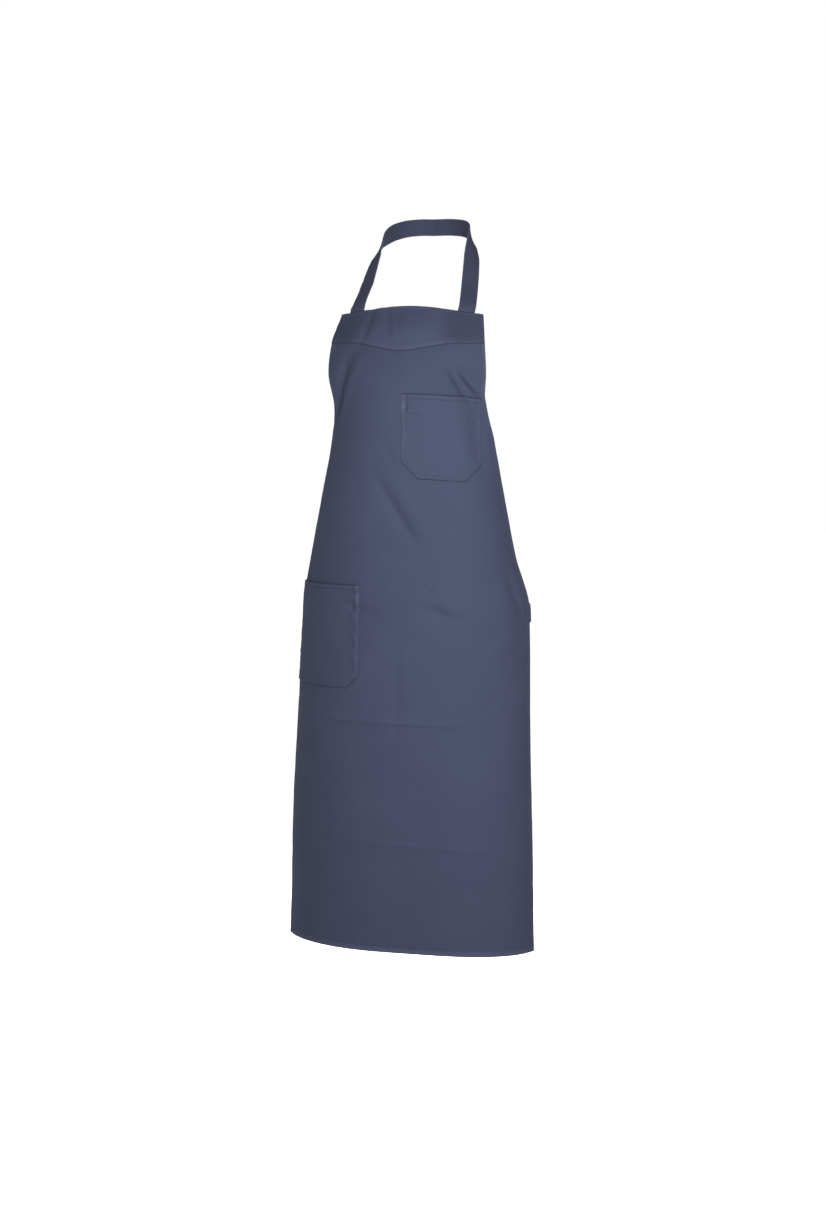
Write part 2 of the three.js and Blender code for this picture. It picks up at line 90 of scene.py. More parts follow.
# The worn form, level by level: 0 at the bib's top corners, 1 at the waist corners, 2 at the hem
form_columns = (
    "down", "cut", "lean", "turn_right", "square_right", "turn_left", "square_left", "sway", "droop",
)
worn_form = np.array([
    (0, 0, 27, 25, 1.3, 25, 1.3, 1, 0),
    (0.1, 0.11, 25, 35, 1.3, 30, 1.3, 0.6, 0),
    (0.2, 0.19, 17, 44, 1.3, 46, 1.3, 0.6, 0.4),
    (0.3, 0.23, 6, 58, 1.35, 60, 1.35, 0.9, 0.7),
    (0.42, 0.38, -2, 68, 1.4, 69, 1.4, 1, 0.85),
    (0.62, 0.6, -4, 73, 1.5, 75, 1.5, 0.6, 1),
    (0.82, 0.8, -2, 74, 1.5, 79, 1.6, 0.3, 0.5),
    (1, 1, 0, 73, 1.5, 80, 1.7, 0.45, 0.2),
    (1.3, 1, 1, 69, 1.5, 81, 2, 0.15, 0),
    (1.65, 1, 1.5, 65, 1.45, 82, 2.3, 0.15, 0),
    (2, 1, 2, 61, 1.4, 82, 2.6, 0.3, 0),
])

# Folds and dents, each straight on the flat cloth: its two ends as a share of the half width and a
# level, its width and its height outward in millimetres, and how round its crest is, 2 for a soft
# swell and near 1 for a pressed crease
folds = np.array([
    (-0.64, 0.15, -0.92, 0.365, 12, -9, 2),
    (-0.47, 0.15, -0.78, 0.38, 9, 2.2, 2),
    (0, -0.02, 0.05, 0.1, 38, 4.4, 2),
    (-0.5, -0.04, -0.5, 0.11, 8, -3.4, 2),
    (-0.31, -0.03, -0.12, 0.1, 5, -2, 2),
    (-0.16, -0.03, 0, 0.1, 4, -0.8, 2),
    (0.46, -0.03, 0.5, 0.1, 12, -2.4, 2),
    (0.66, 0.18, 0.96, 0.265, 12, -11, 2),
    (0.58, 0.185, 0.77, 0.29, 6, -5.5, 2),
    (0.64, 0.2, 0.9, 0.28, 4, 3, 2),
    (0.83, 0.29, 0.78, 0.54, 18, -6.5, 2),
    (-0.24, 0.54, 0.2, 0.82, 9, -3.6, 2),
    (-0.02, 0.68, 0.14, 0.78, 9, -1.2, 2),
    (-0.12, 0.52, 0.28, 0.79, 13, 2.2, 2),
    (-0.124, 0.469, -0.023, 0.521, 6, -1.6, 2),
    (0.2, 1.01, 0.44, 1.045, 6, -4.6, 1.8),
    (0.22, 0.975, 0.48, 1.01, 8, 2.4, 2),
    (-0.376, 1.011, -0.152, 1.025, 6, -2.6, 2),
    (0.821, 0.874, 0.929, 1.073, 9, -3, 2),
    (0.16, 0.93, 0.3, 0.985, 5, -1.8, 2),
    (0.17, 0.985, 0.36, 0.99, 4, 1.2, 2),
    (0.55, 1.16, 0.88, 1.09, 16, 2, 2),
    (0.02, 1.1, 0.02, 1.42, 5, -1.4, 1.4),
    (0.62, 1.3, 0.72, 1.26, 5, -1.6, 2),
    (-0.637, 1.334, 0.546, 1.34, 5, 3.1, 1.2),
    (-0.517, 1.678, 0.797, 1.701, 5, 1.5, 1.2),
])


def form_value(column, level):
    downs = worn_form[:, 0]
    values = worn_form[:, form_columns.index(column)]
    last = len(downs) - 1
    at = np.clip(level, downs[0], downs[-1])
    start = np.clip(np.searchsorted(downs, at) - 1, 0, last - 1)
    before, end = np.maximum(start - 1, 0), start + 1
    after = np.minimum(start + 2, last)
    span = downs[end] - downs[start]
    slope_in = (values[end] - values[before]) / (downs[end] - downs[before])
    slope_out = (values[after] - values[start]) / (downs[after] - downs[start])
    t = (at - downs[start]) / span
    blend = t * t * (3 - 2 * t)
    bend = span * t * (1 - t) * (slope_in * (1 - t) - slope_out * t)
    return values[start] + (values[end] - values[start]) * blend + bend


def level_at(v):
    return np.where(v < bib_drop, v / bib_drop, 1 + (v - bib_drop) / skirt_drop)


def drop_at(level):
    return np.where(level < 1, level * bib_drop, bib_drop + (level - 1) * skirt_drop)


def half_width_at(v):
    level = level_at(v)
    bib = bib_width + (waist_width - bib_width) * form_value("cut", level)
    skirt = waist_width + (hem_width - waist_width) * (level - 1)
    return np.where(level > 1, skirt, bib) / 2


line_step, turn_steps = 5, 24
line_drops = np.arange(-4 * line_step, whole_drop + 8 * line_step, line_step)
line_leans = np.radians(form_value("lean", level_at(line_drops[:-1] + line_step / 2)))
line_forward = np.concatenate([[0], np.cumsum(np.sin(line_leans) * line_step)])
line_down = np.concatenate([[0], np.cumsum(np.cos(line_leans) * line_step)])
line_forward -= np.interp(0, line_drops, line_forward)
line_down -= np.interp(0, line_drops, line_down)


def smooth_point(u, v):
    """The cloth's middle surface without its folds: u across the flat cloth, v down it"""
    level = level_at(v)
    half = half_width_at(v)
    turn = np.radians(np.where(u < 0, form_value("turn_right", level), form_value("turn_left", level)))
    square = np.where(u < 0, form_value("square_right", level), form_value("square_left", level))
    length = np.abs(u)
    across, back = np.zeros_like(length), np.zeros_like(length)
    for k in range(turn_steps):
        angle = turn * ((k + 0.5) / turn_steps * length / half) ** square
        across += np.cos(angle) * length / turn_steps
        back += np.sin(angle) * length / turn_steps
    x = np.sign(u) * across + sway * form_value("sway", level)
    y = back - bib_before_neck - np.interp(v, line_drops, line_forward)
    lower = side_droop * form_value("droop", level) * (u / half) ** 2
    z = -bib_below_neck - np.interp(v, line_drops, line_down) - lower
    return np.stack([x, y, z], axis=-1)


def unit(vectors):
    return vectors / np.linalg.norm(vectors, axis=-1, keepdims=True)


def face_direction(point_at, u, v):
    along = point_at(u + 1, v) - point_at(u - 1, v)
    down = point_at(u, v + 1) - point_at(u, v - 1)
    return unit(np.cross(down, along))


ripple_rng = np.random.default_rng(11)


def ripple_field(wavelength, count=14):
    """A soft uneven surface, about 1 high, whose hills are one wavelength apart"""
    directions = ripple_rng.uniform(0, 2 * math.pi, count)
    numbers = 2 * math.pi / (wavelength * ripple_rng.uniform(0.7, 1.5, count))
    phases = ripple_rng.uniform(0, 2 * math.pi, count)

    def height(u, v):
        total = np.zeros(np.broadcast(u, v).shape)
        for direction, number, phase in zip(directions, numbers, phases):
            total += np.sin(number * (u * math.cos(direction) + v * math.sin(direction)) + phase)
        return total / math.sqrt(count)

    return height


slack = ripple_field(150)
crumple = ripple_field(46)
slack_height, crumple_height = 0.9, 0.16


def beside_line(u, v, start_u, start_v, end_u, end_v):
    """How far along a straight line a place lies, as a share, and how far beside it"""
    run_u, run_v = end_u - start_u, end_v - start_v
    along = ((u - start_u) * run_u + (v - start_v) * run_v) / (run_u**2 + run_v**2)
    along = np.clip(along, 0, 1)
    return along, np.hypot(u - start_u - along * run_u, v - start_v - along * run_v)


def cloth_height(u, v):
    height = slack_height * slack(u, v * 0.55) + crumple_height * crumple(u, v)
    for from_across, from_down, to_across, to_down, wide, high, crest in folds:
        start_v, end_v = drop_at(from_down), drop_at(to_down)
        start_u, end_u = from_across * half_width_at(start_v), to_across * half_width_at(end_v)
        along, away = beside_line(u, v, start_u, start_v, end_u, end_v)
        taper = np.sin(math.pi * np.clip(along, 0.04, 0.96)) ** 0.6
        height += high * taper * np.exp(-((away / wide) ** crest))
    return height


def cloth_point(u, v):
    return smooth_point(u, v) + face_direction(smooth_point, u, v) * cloth_height(u, v)[..., None]


def off_cloth(u, v, height):
    return cloth_point(u, v) + face_direction(cloth_point, u, v) * np.asarray(height)[..., None]


def linear(hex_colour):
    """An sRGB hex colour as linear light"""
    parts = [int(hex_colour[k:k + 2], 16) / 255 for k in (1, 3, 5)]
    return [p / 12.92 if p <= 0.04045 else ((p + 0.055) / 1.055) ** 2.4 for p in parts] + [1]


def add_node(material, kind, settings=(), links=()):
    """Adds a node; settings are its options or its inputs' values, links its inputs' sources"""
    made = material.node_tree.nodes.new(kind)
    for key, value in dict(settings).items():
        if isinstance(key, int) or key in made.inputs:
            made.inputs[key].default_value = value
        else:
            setattr(made, key, value)
    for key, source in dict(links).items():
        material.node_tree.links.new(source, made.inputs[key])
    return made


# Twill has about 1.4 ribs to the millimetre here; they are drawn at half that number to show
rib_spacing, thread_relief = 1.3, 0.11


def woven_cotton(name, warp, weft, faded, rib_angle):
    """Dyed cotton yarns in a twill: fine slanting ribs, uneven yarns, a dry surface with a nap"""
    cloth = bpy.data.materials.new(name)
    cloth.use_nodes = True
    cloth.node_tree.nodes.clear()
    flat = add_node(cloth, "ShaderNodeAttribute", {"attribute_name": "flat"}).outputs["Vector"]
    wear_and_highlight = add_node(cloth, "ShaderNodeAttribute", {"attribute_name": "wear_and_highlight"}).outputs["Fac"]
    painted_shade = add_node(cloth, "ShaderNodeAttribute", {"attribute_name": "painted_shade"}).outputs["Fac"]
    slub, dye, nap = (
        add_node(
            cloth, "ShaderNodeTexNoise",
            {"Scale": scale, "Detail": detail, "Roughness": roughness}, {"Vector": flat},
        ).outputs["Fac"]
        for scale, detail, roughness in ((0.35, 3, 0.6), (0.012, 4, 0.55), (2.2, 2, 0.7))
    )
    wander = add_node(cloth, "ShaderNodeMath", {"operation": "MULTIPLY", 1: 1.6}, {0: slub}).outputs[0]

    number = 2 * math.pi / rib_spacing
    slant_u, slant_v = math.cos(rib_angle), math.sin(rib_angle)
    waves = []
    for along_u, along_v, lowest in ((slant_u, slant_v, 0), (-slant_v * 0.8, slant_u * 0.8, 0.7)):
        place = add_node(
            cloth, "ShaderNodeVectorMath",
            {"operation": "DOT_PRODUCT", 1: (along_u * number, along_v * number, 0)}, {0: flat},
        ).outputs["Value"]
        phase = add_node(cloth, "ShaderNodeMath", {"operation": "ADD"}, {0: place, 1: wander})
        wave = add_node(cloth, "ShaderNodeMath", {"operation": "SINE"}, {0: phase.outputs[0]})
        height = add_node(
            cloth, "ShaderNodeMapRange", {"From Min": -1, "From Max": 1, "To Min": lowest, "To Max": 1},
            {"Value": wave.outputs[0]},
        )
        waves.append(height.outputs["Result"])
    rib, knuckle = waves
    thread = add_node(cloth, "ShaderNodeMath", {"operation": "MULTIPLY"}, {0: rib, 1: knuckle}).outputs[0]

    # The dye is a little uneven over the width of a hand, and paler on worn edges and under painted
    # highlights
    fade = add_node(
        cloth, "ShaderNodeMapRange", {"From Min": 0.3, "From Max": 0.7, "To Min": 0, "To Max": 0.05},
        {"Value": dye},
    ).outputs["Result"]
    paler = add_node(
        cloth, "ShaderNodeMath", {"operation": "MULTIPLY_ADD", 1: 0.55, "use_clamp": True},
        {0: wear_and_highlight, 2: fade},
    ).outputs[0]
    yarn = add_node(
        cloth, "ShaderNodeMix", {"data_type": "RGBA", 6: linear(weft), 7: linear(warp)}, {0: thread}
    ).outputs[2]
    lightened = add_node(
        cloth, "ShaderNodeMix", {"data_type": "RGBA", 7: linear(faded)}, {0: paler, 6: yarn}
    ).outputs[2]
    # Painted shade: the colour is darkened towards near-black where the mesh carries painted shade, along
    # stitch rows, sewn outlines, the yoke's seam and sides and the knot's grooves
    shaded_colour = add_node(
        cloth, "ShaderNodeMix", {"data_type": "RGBA", 7: linear("#0c0d16")}, {0: painted_shade, 6: lightened}
    ).outputs[2]
    surface = add_node(
        cloth, "ShaderNodeMath", {"operation": "MULTIPLY_ADD", 1: 0.35}, {0: nap, 2: thread}
    ).outputs[0]
    bump = add_node(
        cloth, "ShaderNodeBump", {"Strength": 0.7, "Distance": thread_relief / 1000}, {"Height": surface}
    ).outputs["Normal"]
    rough = add_node(
        cloth, "ShaderNodeMapRange", {"From Min": 0, "From Max": 1, "To Min": 0.92, "To Max": 0.78},
        {"Value": thread},
    ).outputs["Result"]
    shader = add_node(
        cloth, "ShaderNodeBsdfPrincipled",
        {
            "IOR": 1.5, "Specular IOR Level": 0.2, "Sheen Weight": 0.05, "Sheen Roughness": 0.45,
            "Sheen Tint": linear("#9aa2c0"),
        },
        {"Base Color": shaded_colour, "Roughness": rough, "Normal": bump},
    )
    add_node(cloth, "ShaderNodeOutputMaterial", (), {"Surface": shader.outputs["BSDF"]})
    return cloth


navy_twill = woven_cotton("navy_cotton_twill", "#272b3e", "#353a4f", "#535970", math.radians(28))


def make_piece(name, points, faces, attributes, material):
    """A mesh object from millimetre points; attributes give each point's flat place, its wear and painted
    highlights, and its painted shade
    """
    mesh = bpy.data.meshes.new(name)
    mesh.from_pydata((points / 1000).tolist(), [], faces)
    for key, values in attributes.items():
        kind, part = ("FLOAT_VECTOR", "vector") if np.ndim(values) == 2 else ("FLOAT", "value")
        layer = mesh.attributes.new(key, kind, "POINT")
        layer.data.foreach_set(part, np.ascontiguousarray(values, dtype=np.float32).ravel())
    mesh.shade_smooth()
    mesh.materials.append(material)
    piece = add_object(name, mesh)
    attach(piece, "root")
    return piece


def cloth_faces(rows, columns):
    """Faces of a closed sheet: its outer grid, its inner grid and the rim between them"""
    place = np.arange(2 * rows * columns).reshape(2, rows, columns)
    outer, inner = place
    quads = []
    for grid, turn in ((outer, 1), (inner, -1)):
        corners = [grid[:-1, :-1], grid[1:, :-1], grid[1:, 1:], grid[:-1, 1:]][::turn]
        quads.append(np.stack(corners, axis=-1).reshape(-1, 4))
    for edge_out, edge_in in (
        (outer[:, 0], inner[:, 0]),
        (outer[-1], inner[-1]),
        (outer[::-1, -1], inner[::-1, -1]),
        (outer[0, ::-1], inner[0, ::-1]),
    ):
        corners = [edge_out[:-1], edge_in[:-1], edge_in[1:], edge_out[1:]]
        quads.append(np.stack(corners, axis=-1))
    return np.concatenate(quads).tolist()


inner_weave = (0, 0, 40)


def sheet_piece(name, u, v, low, high, wear_and_highlight, painted_shade):
    """A closed twill sheet on the cloth, from low to high millimetres off its middle surface"""
    base, out = cloth_point(u, v), face_direction(cloth_point, u, v)
    points = np.concatenate([(base + out * d[..., None]).reshape(-1, 3) for d in (high, low)])
    flat = np.stack([u, v, np.zeros_like(u)], axis=-1).reshape(-1, 3)
    attributes = {
        "flat": np.concatenate([flat, flat + inner_weave]),
        "wear_and_highlight": np.tile(np.ravel(wear_and_highlight), 2),
        "painted_shade": np.tile(np.ravel(painted_shade), 2),
    }
    return make_piece(name, points, cloth_faces(*u.shape), attributes, navy_twill)


def edge_lines(turn, stitch, rim=edge_round):
    """Distances from a turned edge where its shape changes: the round rim, the stitching, the fold"""
    rim_lines = rim * (1 - np.cos(np.linspace(0.12, math.pi / 2, 4)))
    inside = np.linspace(rim, stitch - 1, 4)[1:]
    seam = stitch + np.array([-0.5, 0, 0.5, 1.1])
    return np.concatenate([[0], rim_lines, inside, seam, [turn + 0.3, turn + 1, turn + 3]])


def lines_across(edge, length, spacing, extra=()):
    """Places from 0 to length: fine near both edges and near the extra ones, even between them"""
    start, end = edge[-1], length - edge[-1]
    count = max(1, round((end - start) / spacing))
    middle = np.linspace(start, end, count + 1)[1:-1]
    for place in extra:
        middle = middle[np.abs(middle - place) > spacing * 0.6]
    return np.sort(np.concatenate([edge, middle, length - edge, extra]))


def top_edge_at(share):
    """The bib's top edge: a shallow arch that is nearly level from the straps out to the corners"""
    return -top_rise * (1 - share**2) - corner_rise * smooth_step(np.abs(share), corner_start, 1)


def rim_share(distance, rim=edge_round):
    """How full the cloth's thickness is at a distance from its rounded edge"""
    near = np.clip(distance / rim, 0, 1)
    return np.sqrt(np.clip(1 - (1 - near) ** 2, 0.02, 1))


def smooth_step(value, start, end):
    t = np.clip((value - start) / (end - start), 0, 1)
    return t * t * (3 - 2 * t)


def bell(distance, width):
    """1 at no distance, fading softly to nothing at about twice the width"""
    return np.exp(-((distance / width) ** 2))


pucker_field = ripple_field(13)
pucker_height = 0.2


def pucker(u, v, away, reach=5):
    """Small gathers along a seam, which fade at some distance from it"""
    return pucker_height * pucker_field(u, v) * bell(away, reach)


# The last two folds are pressed creases, which need closer rows
row_spacing, inner_count = 4.2, 102
hem_lines = edge_lines(hem_turn, hem_stitch)
creases = [float(drop_at((folds[k, 1] + folds[k, 3]) / 2)) for k in (-2, -1)]
crease_rows = [crease + away for crease in creases for away in (-6, -4, -2, 0, 2, 4, 6)]
panel_rows = lines_across(hem_lines, whole_drop, row_spacing, crease_rows)
inner_columns = np.linspace(-1, 1, inner_count + 2)[1:-1]

row_v = panel_rows[:, None]
row_half = half_width_at(row_v)
panel_u = np.concatenate(
    [hem_lines - row_half, inner_columns * (row_half - hem_lines[-1]), row_half - hem_lines[::-1]], axis=1
)
panel_v = row_v + top_edge_at(panel_u / row_half) * np.clip(1 - row_v / bib_drop, 0, 1)
side_away = row_half - np.abs(panel_u)
hem_away = whole_drop - row_v
turned_away = np.minimum(side_away, hem_away)
edge_away = np.minimum(turned_away, row_v)
seam_away = np.abs(turned_away - hem_stitch)
full = rim_share(edge_away)
groove = groove_depth * bell(seam_away, groove_width)
swell = seam_swell * np.clip(np.sin(math.pi * np.clip(turned_away / hem_stitch, 0, 1)), 0, 1)
puckers = pucker(panel_u, panel_v, seam_away)
turned = 1 - smooth_step(turned_away, hem_turn - 0.2, hem_turn + 0.3)
panel_high = cloth_ply / 2 * full + swell - groove + puckers
panel_low = -cloth_ply / 2 * full - hem_ply * turned * full + puckers + 0.15 * groove
# Paler near the cloth's edges, where it wears, and a little paler over the turned hem; the band raised
# between the hem stitching and the edge gets a painted highlight
panel_wear_and_highlight = np.clip(1 - edge_away / worn_edge, 0, 1) + 0.5 * swell + 0.16 * (hem_away < hem_turn - 1)
# Painted shade along the hem stitching
panel_shade = 0.35 * bell(seam_away, thread_shadow)

panel = sheet_piece("twill_panel", panel_u, panel_v, panel_low, panel_high, panel_wear_and_highlight, panel_shade)
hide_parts("apron_panel")

# Spun polyester thread, dyed to match: slightly glossier and paler than the cloth
thread = bpy.data.materials.new("navy_polyester_thread")
thread.use_nodes = True
thread.node_tree.nodes.clear()
flat = add_node(thread, "ShaderNodeAttribute", {"attribute_name": "flat"}).outputs["Vector"]
twist = add_node(
    thread, "ShaderNodeTexWave", {"Scale": 0.9, "Distortion": 1.5, "bands_direction": "DIAGONAL"},
    {"Vector": flat},
).outputs["Fac"]
dye = add_node(
    thread, "ShaderNodeMix", {"data_type": "RGBA", 6: linear("#30354b"), 7: linear("#4c526b")},
    {0: twist},
).outputs[2]
bump = add_node(thread, "ShaderNodeBump", {"Strength": 0.5, "Distance": 0.00006}, {"Height": twist})
shader = add_node(
    thread, "ShaderNodeBsdfPrincipled", {"Roughness": 0.55, "IOR": 1.57},
    {"Base Color": dye, "Normal": bump.outputs["Normal"]},
)
add_node(thread, "ShaderNodeOutputMaterial", (), {"Surface": shader.outputs["BSDF"]})

stitch_pitch, stitch_length, stitch_lean = 3.2, 2.6, 0.16
thread_width, thread_sides, thread_flatness = 0.5, 6, 0.75
thread_rise, thread_sink = 0.22, 0.1
# Places along half a stitch, and how full the thread is there
thread_stations = ((-0.98, 0.25), (-0.8, 0.75), (-0.35, 1), (0.35, 1), (0.8, 0.75), (0.98, 0.25))
stitch_rng = np.random.default_rng(5)


def stitching(name, rows):
    """Lockstitch seen from outside: one short raised thread after another, as one mesh"""
    starts, ends, outs = [], [], []
    for points, directions in rows:
        steps = np.linalg.norm(np.diff(points, axis=0), axis=1)
        travelled = np.concatenate([[0], np.cumsum(steps)])
        count = int(travelled[-1] / stitch_pitch)
        first = (np.arange(count) + 0.5) * travelled[-1] / count - stitch_length / 2
        for store, values, places in (
            (starts, points, first),
            (ends, points, first + stitch_length),
            (outs, directions, first + stitch_length / 2),
        ):
            store.append(np.stack([np.interp(places, travelled, part) for part in values.T], axis=1))
    start, end, out = (np.concatenate(parts) for parts in (starts, ends, outs))
    along = unit(end - start)
    side = unit(np.cross(along, out))
    lean = stitch_rng.uniform(-stitch_lean, stitch_lean, (len(start), 1))
    centre = (start + end) / 2
    along = along + side * lean
    ring = np.linspace(0, 2 * math.pi, thread_sides + 1)[:-1]
    points = []
    for reach, fullness in thread_stations:
        lift = thread_rise * (1 - reach**2) - thread_sink
        middle = centre + along * reach * stitch_length / 2 + out * lift
        for angle in ring:
            across = side * math.cos(angle) + out * math.sin(angle) * thread_flatness
            points.append(middle + across * fullness * thread_width / 2)
    points = np.stack(points, axis=1)
    each = points.shape[1]
    base = np.arange(len(start))[:, None] * each
    faces = []
    for k in range(len(thread_stations) - 1):
        for j in range(thread_sides):
            a, b = k * thread_sides + j, k * thread_sides + (j + 1) % thread_sides
            faces.append(base + np.array([a, a + thread_sides, b + thread_sides, b]))
    quads = np.concatenate(faces).tolist()
    cap = np.arange(thread_sides)
    caps = np.concatenate([base + cap, base + each - 1 - cap]).tolist()
    flat = points.reshape(-1, 3)
    piece = make_piece(name, flat, quads + caps, {"flat": flat}, thread)
    return piece


def seam_on_cloth(u, v, height):
    """A seam's points on the cloth and the directions that it faces"""
    spaced = np.concatenate([[0], np.cumsum(np.hypot(np.diff(u), np.diff(v)))])
    fine = np.linspace(0, spaced[-1], max(2, int(spaced[-1] / 2)))
    u, v = np.interp(fine, spaced, u), np.interp(fine, spaced, v)
    return off_cloth(u, v, height), face_direction(cloth_point, u, v)


stitch_seat = cloth_ply / 2 - 0.1
side_v = np.linspace(6, whole_drop - hem_stitch, 500)
side_u = half_width_at(side_v) - hem_stitch
hem_u = np.linspace(hem_stitch - hem_width / 2, hem_width / 2 - hem_stitch, 200)
panel_seams = [
    seam_on_cloth(-side_u, side_v, stitch_seat),
    seam_on_cloth(side_u, side_v, stitch_seat),
    seam_on_cloth(hem_u, np.full(len(hem_u), whole_drop - hem_stitch), stitch_seat),
]
panel_stitching = stitching("panel_hem_stitching", panel_seams)

# Bib facing
# A second layer of the same twill along the bib's top, cut as a yoke. Its top and sides are turned
# in with the panel's, and its lower edge, turned under and topstitched, dips to a blunt point.
facing_drop, facing_point, facing_reach, facing_blunt = 47, 17, 0.55, 0.1
facing_stitch, facing_turn, facing_spacing = 2.2, 9, 2.6
facing_seat, facing_ply, facing_rise = 0.62, 0.95, 0.8
dip_width, past_stitch = 0.8, 1.6


def facing_seam_at(share):
    rise = 1 - np.hypot(share, facing_blunt) / facing_reach
    return facing_drop + facing_point * (rise + np.hypot(rise, facing_blunt)) / 2


facing_edge = edge_lines(facing_turn, facing_stitch + past_stitch)
facing_half = float(half_width_at(np.array(facing_drop / 2)))
facing_columns = lines_across(facing_edge, 2 * facing_half, facing_spacing) / facing_half - 1
facing_rows = lines_across(facing_edge, facing_drop, facing_spacing) / facing_drop
facing_share, facing_down = np.meshgrid(facing_columns, facing_rows)
facing_top = top_edge_at(facing_share) - facing_rise
facing_v = facing_top + (facing_seam_at(facing_share) - facing_top) * facing_down
facing_u = facing_share * half_width_at(facing_v)
below_top = facing_v - facing_top
above_seam = facing_seam_at(facing_share) - facing_v
inside_side = half_width_at(facing_v) * (1 - np.abs(facing_share))
facing_away = np.minimum(np.minimum(below_top, above_seam), inside_side)
facing_seam_away = np.abs(np.minimum(above_seam, inside_side) - facing_stitch)
facing_full = rim_share(facing_away, 1.2)
facing_swell = seam_swell * bell(above_seam - facing_stitch - 5, 4)
facing_groove = groove_depth * bell(facing_seam_away, dip_width)
facing_pucker = pucker(facing_u, facing_v, facing_seam_away, 6) + 0.1
fold_over = 1.2 * bell(below_top, edge_round)
facing_low = facing_seat + facing_pucker - fold_over
facing_high = facing_low + 0.2 + (facing_ply + facing_swell - facing_groove) * facing_full
# Paler along the folded top edge, where it wears; the band just above the seam gets a painted highlight
facing_wear_and_highlight = 0.5 * np.clip(1 - below_top / worn_edge, 0, 1) + 0.12 * bell(above_seam - 5, 3)
# Painted shade: a dark line along the seam, and painted shadow on both sides of the yoke
facing_shade = np.clip(1.4 - above_seam / 1.8, 0, 1) * 0.5
facing_side = smooth_step(np.abs(facing_share), 0.3 + 0.15 * facing_down, 0.6 + 0.15 * facing_down)
facing_shade = np.maximum(facing_shade, 0.26 * facing_side)
# A painted highlight on the middle of the yoke's lower part
facing_wear_and_highlight = facing_wear_and_highlight + 0.12 * (1 - facing_side) * smooth_step(facing_down, 0.3, 0.9)

facing = sheet_piece(
    "bib_yoke", facing_u, facing_v, facing_low, facing_high, facing_wear_and_highlight, facing_shade
)
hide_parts("bib_facing")

seam_share = np.linspace(-0.985, 0.985, 160)
seam_v = facing_seam_at(seam_share) - facing_stitch
facing_side_v = np.linspace(4, facing_drop - facing_stitch, 30)
facing_side_u = half_width_at(facing_side_v) - facing_stitch
top_share = np.linspace(-0.97, 0.97, 160)
top_v = top_edge_at(top_share) + 3
facing_outside = facing_seat + facing_ply
facing_stitching = stitching(
    "yoke_stitching",
    [
        seam_on_cloth(seam_share * half_width_at(seam_v), seam_v, facing_outside),
        seam_on_cloth(top_share * half_width_at(top_v), top_v, facing_outside + 0.2),
        seam_on_cloth(-facing_side_u, facing_side_v, facing_outside),
        seam_on_cloth(facing_side_u, facing_side_v, facing_outside),
    ],
)

# Patch pockets
# Single layers of the twill with a turned mouth. Their other edges are turned under and sewn to the
# panel with two rows, the clipped lower corners too, and a small stitched box holds one mouth end.
pocket_seat, pocket_ply, pocket_swell = 0.62, 0.95, 1.1
pocket_stitches = (1.8, 8.2)
mouth_stitch, mouth_gap, mouth_reach = 8, 1.3, 26
box_width, box_height = 10, 26
pocket_turn, pocket_spacing = 9.5, 2.8
turned_ply, pocket_dip, box_line_width = 0.35, 0.26, 1.2


def from_sewn_edge(p, q, width, height, clip, clips):
    """How far a place on a pocket is from the nearest sewn edge"""
    left, right, low = p + width / 2, width / 2 - p, height - q
    sewn = np.minimum(np.minimum(left, right), low)
    for side, is_clipped in zip((left, right), clips):
        if is_clipped:
            sewn = np.minimum(sewn, (side + low - clip) / math.sqrt(2))
    return sewn


def pocket_outline(width, height, clip, clips, inset):
    """The sewn edges from one mouth end round to the other, some way inside the cloth's edge"""
    side, low = width / 2 - inset, height - inset
    cut = clip - inset * (2 - math.sqrt(2)) if clip else 0
    left = [(-side, low - cut), (-side + cut, low)] if clips[0] else [(-side, low)]
    right = [(side - cut, low), (side, low - cut)] if clips[1] else [(side, low)]
    return np.array([(-side, 1.5)] + left + right + [(side, 1.5)])


